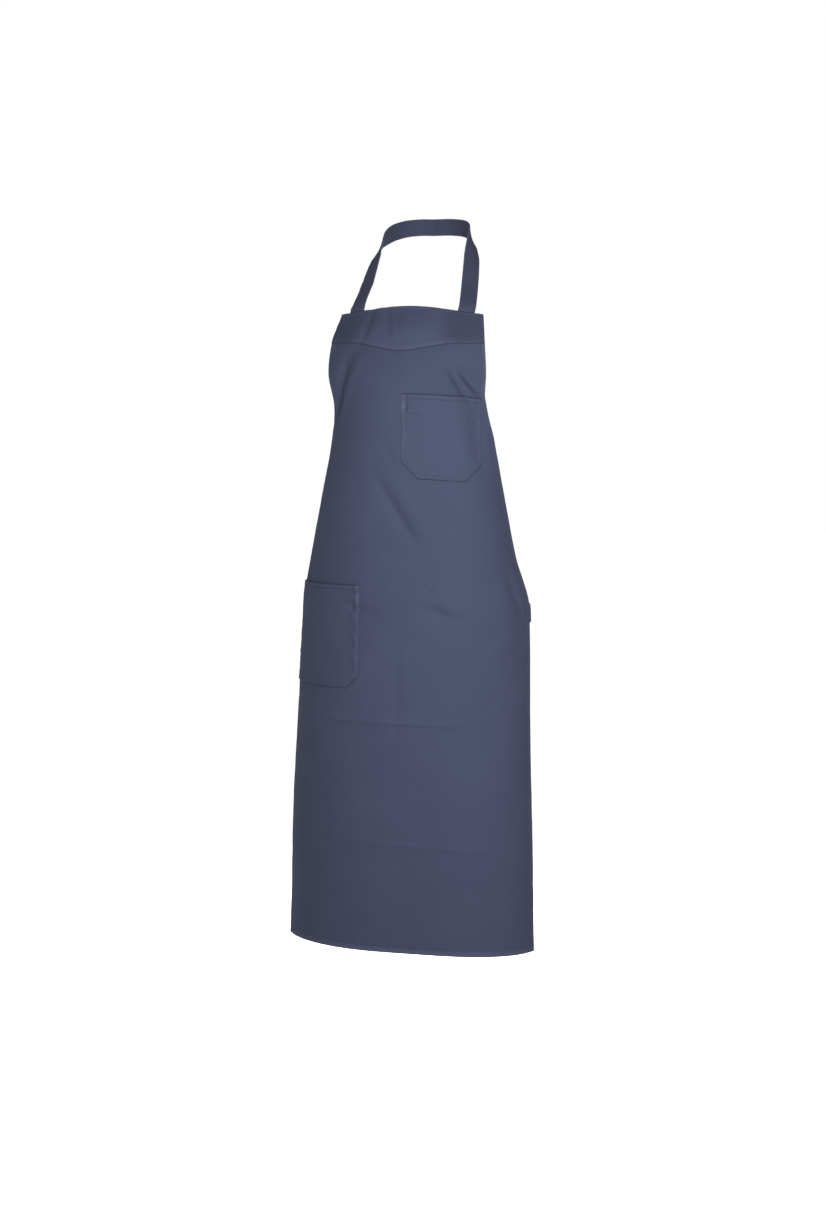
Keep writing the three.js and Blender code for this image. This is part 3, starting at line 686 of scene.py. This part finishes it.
def patch_pocket(
    name, node, place_u, place_v, width, height, clip, clips, box_side, gather, faded, outlined, creases
):
    lines = edge_lines(pocket_turn, pocket_stitches[0] + past_stitch)
    seam_lines = np.concatenate([lines[:-1], pocket_stitches[1] + np.array([-0.6, 0, 0.6, 1.4]), [13]])
    seam_lines = np.unique(np.round(seam_lines, 2))
    rows = lines_across(seam_lines, height, pocket_spacing)
    columns = lines_across(seam_lines, width, pocket_spacing)
    p, q = np.meshgrid(columns - width / 2, rows)
    clipped = np.maximum(0, q - (height - clip))
    for side, is_clipped in zip((-1, 1), clips):
        if is_clipped:
            p = np.where(side * p > 0, p * (1 - clipped / (width / 2)), p)
    u, v = place_u + p, place_v + q
    sewn_away = from_sewn_edge(p, q, width, height, clip, clips)
    away = np.minimum(sewn_away, q)
    full = rim_share(away, 1.1)
    dips = sum(bell(sewn_away - inset, dip_width) for inset in pocket_stitches)
    mouth_dip = bell(q - mouth_stitch, dip_width)
    in_box = (box_side * p > width / 2 - box_width - 2) & (q < box_height + 2)
    arch = np.sin(math.pi * (p / width + 0.5))
    ease = arch * np.cos(math.pi / 2 * (q / height) ** 2)
    swell = pocket_swell * ease * smooth_step(sewn_away, 4, 30)
    mouth = mouth_gap * arch**0.7 * bell(q, mouth_reach)
    loose_band = gather * bell(box_side * p - width / 2 + 9, 8)
    gathers = pucker(u, v, sewn_away - 5, 6) * 1.3 + 0.16
    gathers = gathers + loose_band * np.maximum(0, 1 + 1.2 * pucker_field(u * 0.7, v))
    dents = np.zeros_like(p)
    for *ends, wide, high in creases:
        along, off = beside_line(p, q, *ends)
        dents += high * smooth_step(along, 0, 0.12) * (1 - along) ** 0.7 * bell(off, wide)
    low = pocket_seat + swell + mouth + gathers + dents
    ridge = 0.2 * smooth_step(sewn_away, 1.8, 4) * (1 - smooth_step(sewn_away, 7, 10))
    mouth_ply = turned_ply * (1 - smooth_step(q, mouth_stitch + 0.6, mouth_stitch + 2))
    turned = turned_ply * (1 - smooth_step(sewn_away, pocket_turn, pocket_turn + 1.5))
    thick = pocket_ply + ridge + np.maximum(mouth_ply, turned)
    thick = thick - pocket_dip * np.minimum(dips + mouth_dip, 1)
    high = low + 0.15 + (thick - 0.12 * in_box) * full
    into_box = box_side * p - width / 2 + box_width
    box_line = bell(into_box, box_line_width) * (q < box_height)
    box_line = box_line + bell(q - box_height, box_line_width) * in_box
    foot = smooth_step(q, height - clip - 8, height - clip)
    # How much lighter each place is: the whole pocket by faded, a band along the mouth, a painted
    # highlight inside the upright sewn edges, and painted highlights on the puckers in the stitched box
    wear_and_highlight = faded + 0.08 * bell(q - 4, 2)
    wear_and_highlight = wear_and_highlight + 0.2 * outlined**2 * (1 - foot) * bell(sewn_away - 3, 2.2)
    box_foot = smooth_step(q, 0.4 * box_height, 0.8 * box_height)
    box_highlight = (0.15 + 0.35 * box_foot) * (1 + 0.5 * pucker_field(2 * u, 2 * v))
    wear_and_highlight = wear_and_highlight + in_box * smooth_step(into_box, 1, 4) * box_highlight * outlined
    # Painted shade: a dark outline along the sewn edges, strongest along the foot, dark stitch grooves
    # and box lines, and a dark line along the mouth
    edge_shade = 0.5 * (0.2 + 1.1 * foot) * np.clip(1.5 - sewn_away / 2, 0, 1)
    sewn_shade = np.maximum(0.45 * np.minimum(box_line, 1), 0.2 * dips)
    mouth_shade = np.maximum(0.75 * np.clip(1.5 - q / 1.4, 0, 1), 0.3 * mouth_dip)
    painted_shade = np.maximum(outlined * np.maximum(edge_shade, sewn_shade), mouth_shade)
    pocket = sheet_piece(name, u, v, low, high, wear_and_highlight, painted_shade * 0.85)
    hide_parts(node)

    seat = pocket_seat + pocket_ply + 0.25
    seams = []
    for inset in pocket_stitches:
        outline = pocket_outline(width, height, clip, clips, inset)
        seams.append(seam_on_cloth(place_u + outline[:, 0], place_v + outline[:, 1], seat))
    mouth_p = np.linspace(2 - width / 2, width / 2 - 2, 80)
    mouth_lift = mouth_gap * np.sin(math.pi * (mouth_p / width + 0.5)) ** 0.7
    mouth_lift = mouth_lift * bell(mouth_stitch, mouth_reach)
    mouth_v = np.full(len(mouth_p), place_v + mouth_stitch)
    mouth_u = place_u + mouth_p
    mouth_out = face_direction(cloth_point, mouth_u, mouth_v)
    mouth_height = seat + mouth_lift + 0.1
    seams.append((off_cloth(mouth_u, mouth_v, mouth_height), mouth_out))
    corner = box_side * (width / 2 - pocket_stitches[0])
    inner = corner - box_side * box_width
    box = np.array([(corner, 2), (inner, 2), (inner, box_height), (corner, box_height)])
    seams.append(seam_on_cloth(place_u + box[:, 0], place_v + box[:, 1], seat + 0.15))
    stitched = stitching(name + "_stitching", seams)


patch_pocket(
    "twill_chest_pocket", "chest_pocket", place_u=71, place_v=128,
    width=130, height=133, clip=27, clips=(True, True), box_side=-1, gather=0, faded=0.05, outlined=1,
    creases=[(-58, 31, -8, 42, 3, -1.4), (-60, 24, -20, 33, 3.6, 3.4)],
)
side_pocket_width, side_pocket_height, side_pocket_drop, side_overhang = 175, 166, 430, 2
side_pocket_level = np.array(side_pocket_drop + side_pocket_height / 2)
patch_pocket(
    "twill_side_pocket", "side_pocket",
    place_u=side_pocket_width / 2 - side_overhang - float(half_width_at(side_pocket_level)),
    place_v=side_pocket_drop, width=side_pocket_width, height=side_pocket_height,
    clip=20, clips=(False, True), box_side=1, gather=0.8, faded=0, outlined=0.6,
    creases=[(80, 34, 30, 26, 4, -1.4), (84, 60, 60, 66, 4, -1)],
)

# Neck strap
# A loop of the same twill, folded to a flat band 27 mm wide and topstitched near both edges. Each
# end goes down behind the bib's top and is held there by a crossed box of stitches.
band_width, band_thickness, band_stitch = 27, 1.8, 3
strap_inset, strap_tuck, strap_steps, tuck_steps = 28, 34, 110, 14
panel_back, strap_gap = 0.6, 1.1
band_dip, band_crown, band_ripple, band_worn_edge = 0.22, 0.12, 0.22, 1.5
seam_sink, box_sink, box_side_steps = 0.12, 0.05, 12
strap_box_start, strap_box_end = 1, 11
band_twill = woven_cotton("navy_twill_band", "#272a3a", "#34374a", "#4e5266", math.radians(62))
strap_stations = (
    # out, back and down as shares of the place where it leaves the bib, and the face's direction
    (0.95, 0.76, 0.68, 22),
    (0.885, 0.56, 0.36, 38),
    (0.79, 0.38, 0.13, 80),
    (0.6, 0.15, 0.03, 120),
    (0.31, 0.03, 0, 154),
    (0, 0, 0, 180),
)


def curve_through(points, count):
    """A centripetal Catmull-Rom curve through the points"""
    points = np.asarray(points, dtype=float)
    points = np.concatenate([[2 * points[0] - points[1]], points, [2 * points[-1] - points[-2]]])
    place = np.linspace(0, len(points) - 3, count)
    first = np.minimum(place.astype(int), len(points) - 4)
    t = (place - first)[:, None]
    p0, p1, p2, p3 = (points[first + k] for k in range(4))
    d0, d1, d2 = (
        np.sqrt(np.linalg.norm(b - a, axis=1, keepdims=True)) for a, b in ((p0, p1), (p1, p2), (p2, p3))
    )
    m1 = ((p1 - p0) / d0 - (p2 - p0) / (d0 + d1) + (p2 - p1) / d1) * d1
    m2 = ((p2 - p1) / d1 - (p3 - p1) / (d1 + d2) + (p3 - p2) / d2) * d1
    t2, t3 = t * t, t**3
    return p1 + m1 * t + (3 * (p2 - p1) - 2 * m1 - m2) * t2 + (2 * (p1 - p2) + m1 + m2) * t3, place


def band_section():
    """Round the band's section: its places across and its heights, grooved at the stitching"""
    half, rim = band_width / 2, band_thickness / 2
    seam = half - band_stitch
    across = np.array([half - rim, seam + 0.8, seam, seam - 0.8, half * 0.4])
    across = np.concatenate([across, [0], -across[::-1]])
    groove = band_dip * bell(np.abs(across) - seam, 0.6)
    crown = band_crown * np.cos(math.pi / 2 * across / half)
    height = rim + crown - groove
    angles = np.linspace(-60, 60, 4)
    bend_across = half - rim + rim * np.cos(np.radians(angles))
    bend_height = rim * np.sin(np.radians(angles))
    section_across = np.concatenate([across, -bend_across, -across, bend_across])
    section_height = np.concatenate([height, bend_height[::-1], -height, bend_height])
    return section_across, section_height


def band_frame(centres, faces):
    """A band's directions at each of its centres: across it and outward"""
    tangent = unit(np.gradient(centres, axis=0))
    wide = unit(np.cross(faces, tangent))
    return wide, unit(np.cross(tangent, wide))


def tube_faces(place):
    """Faces of a grid of points whose rows are closed rings, with both ends closed"""
    around = np.roll(place, -1, axis=1)
    quads = np.stack([place[:-1], around[:-1], around[1:], place[1:]], axis=-1).reshape(-1, 4)
    return quads.tolist() + [place[0][::-1].tolist(), place[-1].tolist()]


def band_piece(name, courses, gather=None):
    """Flat bands along courses of centres and face directions, as one mesh of closed solids"""
    section_across, section_height = band_section()
    all_points, all_faces, flat, wear_and_highlight, painted_shade = [], [], [], [], []
    start, weave_apart, weave_inside = 0, 900, 30.0
    for number, (centres, faces) in enumerate(courses):
        wide, thick = band_frame(centres, faces)
        steps = np.linalg.norm(np.diff(centres, axis=0), axis=1)
        travelled = np.concatenate([[0], np.cumsum(steps)])
        along = travelled[:, None] + weave_apart * number
        across = np.broadcast_to(section_across, (len(centres), len(section_across)))
        edge_share = (np.abs(across) / (band_width / 2)) ** 3
        height = section_height + band_ripple * edge_share * pucker_field(across, along)
        squeezed = across
        if gather:
            squeezed, rise = gather(number, across, travelled[:, None])
            height = height + rise
        aside = wide[:, None] * squeezed[..., None]
        points = centres[:, None] + aside + thick[:, None] * height[..., None]
        rows, columns = across.shape
        all_faces += tube_faces(start + np.arange(rows * columns).reshape(rows, columns))
        all_points.append(points.reshape(-1, 3))
        face_side = np.where(section_height > 0, 0.0, weave_inside)
        flat.append(np.stack(np.broadcast_arrays(across, along, face_side), axis=-1).reshape(-1, 3))
        from_edge = band_width / 2 - np.abs(across)
        # Paler at the worn edges, and painted shade along the stitch rows
        wear_and_highlight.append((0.8 * np.clip(1 - from_edge / band_worn_edge, 0, 1)).ravel())
        painted_shade.append((0.3 * bell(from_edge - band_stitch, thread_shadow)).ravel())
        start += rows * columns
    attributes = {
        "flat": np.concatenate(flat), "wear_and_highlight": np.concatenate(wear_and_highlight), "painted_shade": np.concatenate(painted_shade),
    }
    return make_piece(name, np.concatenate(all_points), all_faces, attributes, band_twill)


def band_seams(centres, faces):
    """The stitch rows of a band, near its two edges, on both faces"""
    wide, thick = band_frame(centres, faces)
    seams = []
    for side in (-1, 1):
        for face in (-1, 1):
            place = centres + wide * side * (band_width / 2 - band_stitch)
            seams.append((place + thick * face * (band_thickness / 2 - seam_sink), thick * face))
    return seams


def band_end_box(centres, faces, first, last):
    """The crossed box of stitches on a band's inner face, from one row of its course to another"""
    wide, thick = band_frame(centres, faces)
    out = -thick
    reach = band_width / 2 - band_stitch
    box = ((first, -reach), (first, reach), (last, reach), (last, -reach))
    corners = box + (box[0], box[2])
    seams = []
    for (from_row, from_across), (to_row, to_across) in zip(corners, corners[1:]):
        share = np.linspace(0, 1, box_side_steps)[:, None]
        rows = from_row + (to_row - from_row) * share[:, 0]
        low = np.floor(rows).astype(int)
        part = (rows - low)[:, None]
        next_row = np.minimum(low + 1, len(centres) - 1)
        centre, side, lift = ((1 - part) * a[low] + part * a[next_row] for a in (centres, wide, out))
        across = from_across + (to_across - from_across) * share
        seams.append((centre + side * across + lift * (band_thickness / 2 - box_sink), lift))
    return seams


def strap_half(side):
    inset = bib_width / 2 - strap_inset
    leave = float(top_edge_at(inset / (bib_width / 2)))
    offset = -(panel_back + strap_gap + band_thickness / 2)
    tuck_v = np.linspace(leave + strap_tuck, leave, tuck_steps)
    tuck_u = np.full(tuck_steps, float(side * inset))
    tuck = off_cloth(tuck_u, tuck_v, offset)
    tuck_face = face_direction(smooth_point, tuck_u, tuck_v)
    leave_at, lead = tuck[-1], (tuck[-1] - tuck[0]) / 3
    exit_face = math.degrees(math.atan2(side * tuck_face[-1, 0], -tuck_face[-1, 1]))
    nape = band_thickness / 2
    points, angles = [leave_at, leave_at + lead], [exit_face, exit_face]
    for out, back, down, face in strap_stations:
        points.append((leave_at[0] * out, nape + (leave_at[1] - nape) * back, leave_at[2] * down))
        angles.append(face)
    course, place = curve_through(points, strap_steps)
    angle = np.radians(np.interp(place, np.arange(len(angles)), angles))
    course_face = np.stack([side * np.sin(angle), -np.cos(angle), np.zeros_like(angle)], axis=-1)
    return np.concatenate([tuck, course[1:]]), np.concatenate([tuck_face, course_face[1:]])


right_half, left_half = strap_half(-1), strap_half(1)
strap_course = tuple(np.concatenate([r, l[:-1][::-1]]) for r, l in zip(right_half, left_half))
strap = band_piece("twill_neck_strap", [strap_course])
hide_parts("neck_strap")
strap_end = len(strap_course[0]) - 1
strap_seams = band_seams(*strap_course)
strap_seams += band_end_box(*strap_course, strap_box_start, strap_box_end)
strap_seams += band_end_box(*strap_course, strap_end - strap_box_start, strap_end - strap_box_end)
strap_stitching = stitching("strap_stitching", strap_seams)


def course_length(course):
    return float(np.linalg.norm(np.diff(course[0], axis=0), axis=1).sum()) / 1000


# Waist ties
# Two bands of the same make, each sewn behind a waist corner of the panel with a crossed box of
# stitches. They run round to the knot at the centre back and rise a little on the way.
tie_tuck, tie_tuck_steps, tie_steps = 30, 12, 110
tie_box_start, tie_box_end = 1, 8
tie_drop, tie_rise, knot_back = 4, 16, 24
tie_line = bib_drop + tie_drop + band_width / 2
tie_middle = sway * float(form_value("sway", level_at(np.array(tie_line))))
knot_width, knot_height, knot_depth, knot_round = 36, 32, 20, 0.6
knot_shift, knot_overlap = knot_depth / 2 - band_thickness, 1.5


def tie_stations(side):
    half = float(half_width_at(np.array(tie_line)))
    tuck_u = side * np.linspace(half - tie_tuck, half, tie_tuck_steps)
    tuck_v = np.full(tie_tuck_steps, tie_line)
    offset = -(panel_back + strap_gap + band_thickness / 2)
    tuck = off_cloth(tuck_u, tuck_v, offset)
    tuck_face = face_direction(cloth_point, tuck_u, tuck_v)
    leave_at, before = tuck[-1], tuck[-4]
    start_angle = math.atan2(leave_at[1] - before[1], side * (leave_at[0] - before[0]))
    share = (np.arange(tie_steps) + 0.5) / tie_steps
    done = (np.arange(tie_steps) + 1) / tie_steps

    # Narrows down how early the tie turns, until its end lies as far back as the knot
    early, late, halvings = 0.15, 2, 40
    for _ in range(halvings):
        wrap = (early + late) / 2
        angle = start_angle + (math.pi - start_angle) * share**wrap
        stride = side * (leave_at[0] - tie_middle) / -np.cos(angle).sum()
        if leave_at[1] + (np.sin(angle) * stride).sum() < knot_back:
            early = wrap
        else:
            late = wrap

    x = leave_at[0] + side * np.cumsum(np.cos(angle)) * stride
    y = leave_at[1] + np.cumsum(np.sin(angle)) * stride
    z = leave_at[2] + tie_rise * done
    fade = (1 - done) ** 2
    course = np.stack([x, y, z], axis=-1)
    course_face = np.stack([side * np.sin(angle), -np.cos(angle), tuck_face[-1, 2] * fade], axis=-1)
    return np.concatenate([tuck, course]), unit(np.concatenate([tuck_face, course_face]))


knot_centre = (tie_stations(1)[0][-1] + tie_stations(-1)[0][-1]) / 2
knot_reach = 1 - (abs(knot_shift - band_thickness / 2) / (knot_depth / 2)) ** (2 / knot_round)
tie_stop = knot_width / 2 * knot_reach ** (knot_round / 2) - knot_overlap
for side, node in ((-1, "waist_tie_right"), (1, "waist_tie_left")):
    centres, faces = tie_stations(side)
    past_panel = np.arange(len(centres)) >= tie_tuck_steps
    kept = ~(past_panel & (side * (centres[:, 0] - tie_middle) < tie_stop))
    course = centres[kept], faces[kept]
    tie = band_piece("twill_" + node, [course])
    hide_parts(node)
    tie_seams = band_seams(*course) + band_end_box(*course, tie_box_start, tie_box_end)
    tie_stitching = stitching(node + "_stitching", tie_seams)

# Bow
# The free ends of the two ties, knotted at the centre back. Each band is crumpled where the knot
# grips it and opens out again in its loop and its tail.
loop_length, loop_open, loop_droop = 96, 22, math.radians(24)
tail_length, tail_spread, tail_curl, tail_wave = 205, 0.19, 0.05, 5
loop_steps, tail_steps = 90, 80
strap_clear = band_thickness + 2 * strap_gap
pleat_height, pleat_count, knot_squeeze, grip_reach = 2, 3, 0.46, 34


def bow_loop(side):
    out = np.array([side * math.cos(loop_droop), 0, -math.sin(loop_droop)])
    rise = np.array([-out[2], 0, out[0]])
    share = np.linspace(0, 1, loop_steps)
    turned = share * 2 * math.pi
    reach = ((1 - np.cos(turned)) / 2) ** 0.8
    swing = (1 - np.sin(turned) * np.abs(np.sin(turned / 2)) ** 0.5) / 2
    centres = knot_centre + out * (knot_width / 4 + reach * loop_length)[:, None]
    centres[:, 1] += strap_clear + swing * loop_open + (share - 0.5) * knot_depth / 4
    faces = unit(np.cross(np.gradient(centres, axis=0), rise))
    return centres, faces


def bow_tail(side):
    t = np.linspace(0, 1, tail_steps)
    spread = (tail_spread * t - tail_curl * t * t) * tail_length
    x = side * (knot_width / 5 + spread) - tail_wave * t * np.sin(5 * t + side)
    y = strap_clear + knot_depth / 4 + 0.02 * tail_length * np.sin(math.pi * 1.6 * t + side)
    z = -t * tail_length * (1 if side > 0 else 0.93)
    centres = knot_centre + np.stack([x, y, z], axis=-1)
    twist = -side * 0.15 + 0.5 * t * np.sin(4 * t - side)
    return centres, unit(np.stack([twist, np.ones_like(t), np.zeros_like(t)], axis=-1))


bow_courses = [bow_loop(-1), bow_loop(1), bow_tail(-1), bow_tail(1)]
bow_lengths = [course_length(course) * 1000 for course in bow_courses]


def gathered(number, across, travelled):
    """A band near the knot is drawn together and pleated; further off it is flat again"""
    near = travelled
    if number < 2:
        near = np.minimum(travelled, bow_lengths[number] - travelled)
    grip = bell(near, grip_reach)
    pleats = pleat_height * np.cos(across / band_width * pleat_count * 2 * math.pi)
    return across * (1 - knot_squeeze * grip), grip * pleats


bow = band_piece("twill_bow_bands", bow_courses, gathered)
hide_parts("tie_bow")

# The knot is a rounded block whose face shows the turns of the band that wraps it
knot_steps, knot_rows, knot_turn_depth, knot_turns = 72, 40, 0.045, 15
angle = np.linspace(0, 2 * math.pi, knot_steps + 1)[:-1]
tilt = np.linspace(-math.pi / 2, math.pi / 2, knot_rows + 2)[1:-1]
around, height = np.meshgrid(angle, tilt)
level_reach = np.cos(height)
ball = np.stack([level_reach * np.cos(around), level_reach * np.sin(around), np.sin(height)], axis=-1)
turns = np.cos(ball[..., 0] * knot_turns + ball[..., 2] * 2) * np.abs(ball[..., 1])
wrap_fold = 1 + knot_turn_depth * turns
corner = np.sign(ball) * np.abs(ball) ** knot_round * wrap_fold[..., None]
knot_half = (knot_width / 2, knot_depth / 2, knot_height / 2)
knot_points = knot_centre + (0, knot_shift, 0) + corner * knot_half
knot_grid = np.arange(knot_rows * knot_steps).reshape(knot_rows, knot_steps)
knot_flat = np.stack([corner[..., 0] * 22, corner[..., 2] * 22, corner[..., 1] * 9], axis=-1)
# The knot is a little paler all over, and painted shade darkens the grooves between its turns
knot = make_piece(
    "twill_knot", knot_points.reshape(-1, 3), tube_faces(knot_grid),
    {
        "flat": knot_flat.reshape(-1, 3), "wear_and_highlight": np.full(knot_grid.size, 0.1),
        "painted_shade": np.clip((1 - wrap_fold) * 9, 0, 0.5).ravel(),
    },
    band_twill,
)

# Studio
# A pale floor far below the hanging apron, a white room and two soft round lights: the key stands
# level with the bib near the camera's direction, so that the cloth grows darker towards the hem and
# round its sides, and a wider one lights the back.
floor_height, floor_radius, floor_corners, floor_glow = -1.49, 14, 64, 0.7
floor_mesh = bpy.data.meshes.new("studio_floor")
rim_angles = np.linspace(0, 2 * math.pi, floor_corners + 1)[:-1]
floor_mesh.from_pydata(
    [(math.cos(a) * floor_radius, math.sin(a) * floor_radius, floor_height) for a in rim_angles],
    [], [list(range(floor_corners))],
)
floor = add_object("studio_floor", floor_mesh)
painted_floor = bpy.data.materials.new("matt_white_paint")
painted_floor.use_nodes = True
paint = painted_floor.node_tree.nodes["Principled BSDF"]
paint.inputs["Base Color"].default_value = linear("#f4f4f4")
paint.inputs["Roughness"].default_value = 0.9
paint.inputs["Emission Color"].default_value = (1, 1, 1, 1)
paint.inputs["Emission Strength"].default_value = floor_glow
floor_mesh.materials.append(painted_floor)
floor.visible_diffuse = False

room_light = 0.37
world = bpy.data.worlds.new("white_room")
bpy.context.scene.world = world
world.use_nodes = True
world.node_tree.nodes.clear()
seen = add_node(world, "ShaderNodeBackground", {"Color": (1, 1, 1, 1), "Strength": 1})
lights = add_node(world, "ShaderNodeBackground", {"Color": (1, 1, 1, 1), "Strength": room_light})
straight = add_node(world, "ShaderNodeLightPath").outputs["Is Camera Ray"]
room = add_node(
    world, "ShaderNodeMixShader", (),
    {0: straight, 1: lights.outputs["Background"], 2: seen.outputs["Background"]},
)
add_node(world, "ShaderNodeOutputWorld", (), {"Surface": room.outputs["Shader"]})


def soft_light(name, azimuth, distance, height, size, power, aim_height):
    lamp = bpy.data.lights.new(name, "AREA")
    lamp.shape = "DISK"
    lamp.size = size
    lamp.energy = power
    place = add_object(name, lamp)
    turned = math.radians(azimuth)
    place.location = (math.sin(turned) * distance, -math.cos(turned) * distance, height)
    aim = Vector((0, -0.1, aim_height)) - place.location
    place.rotation_mode = "QUATERNION"
    place.rotation_quaternion = aim.to_track_quat("-Z", "Y")


soft_light("key", azimuth=20, distance=1.6, height=-0.25, size=0.7, power=39, aim_height=-0.5)
soft_light("back", azimuth=195, distance=2.1, height=0.1, size=1.2, power=95, aim_height=-0.5)

bpy.context.scene.view_settings.view_transform = "Standard"
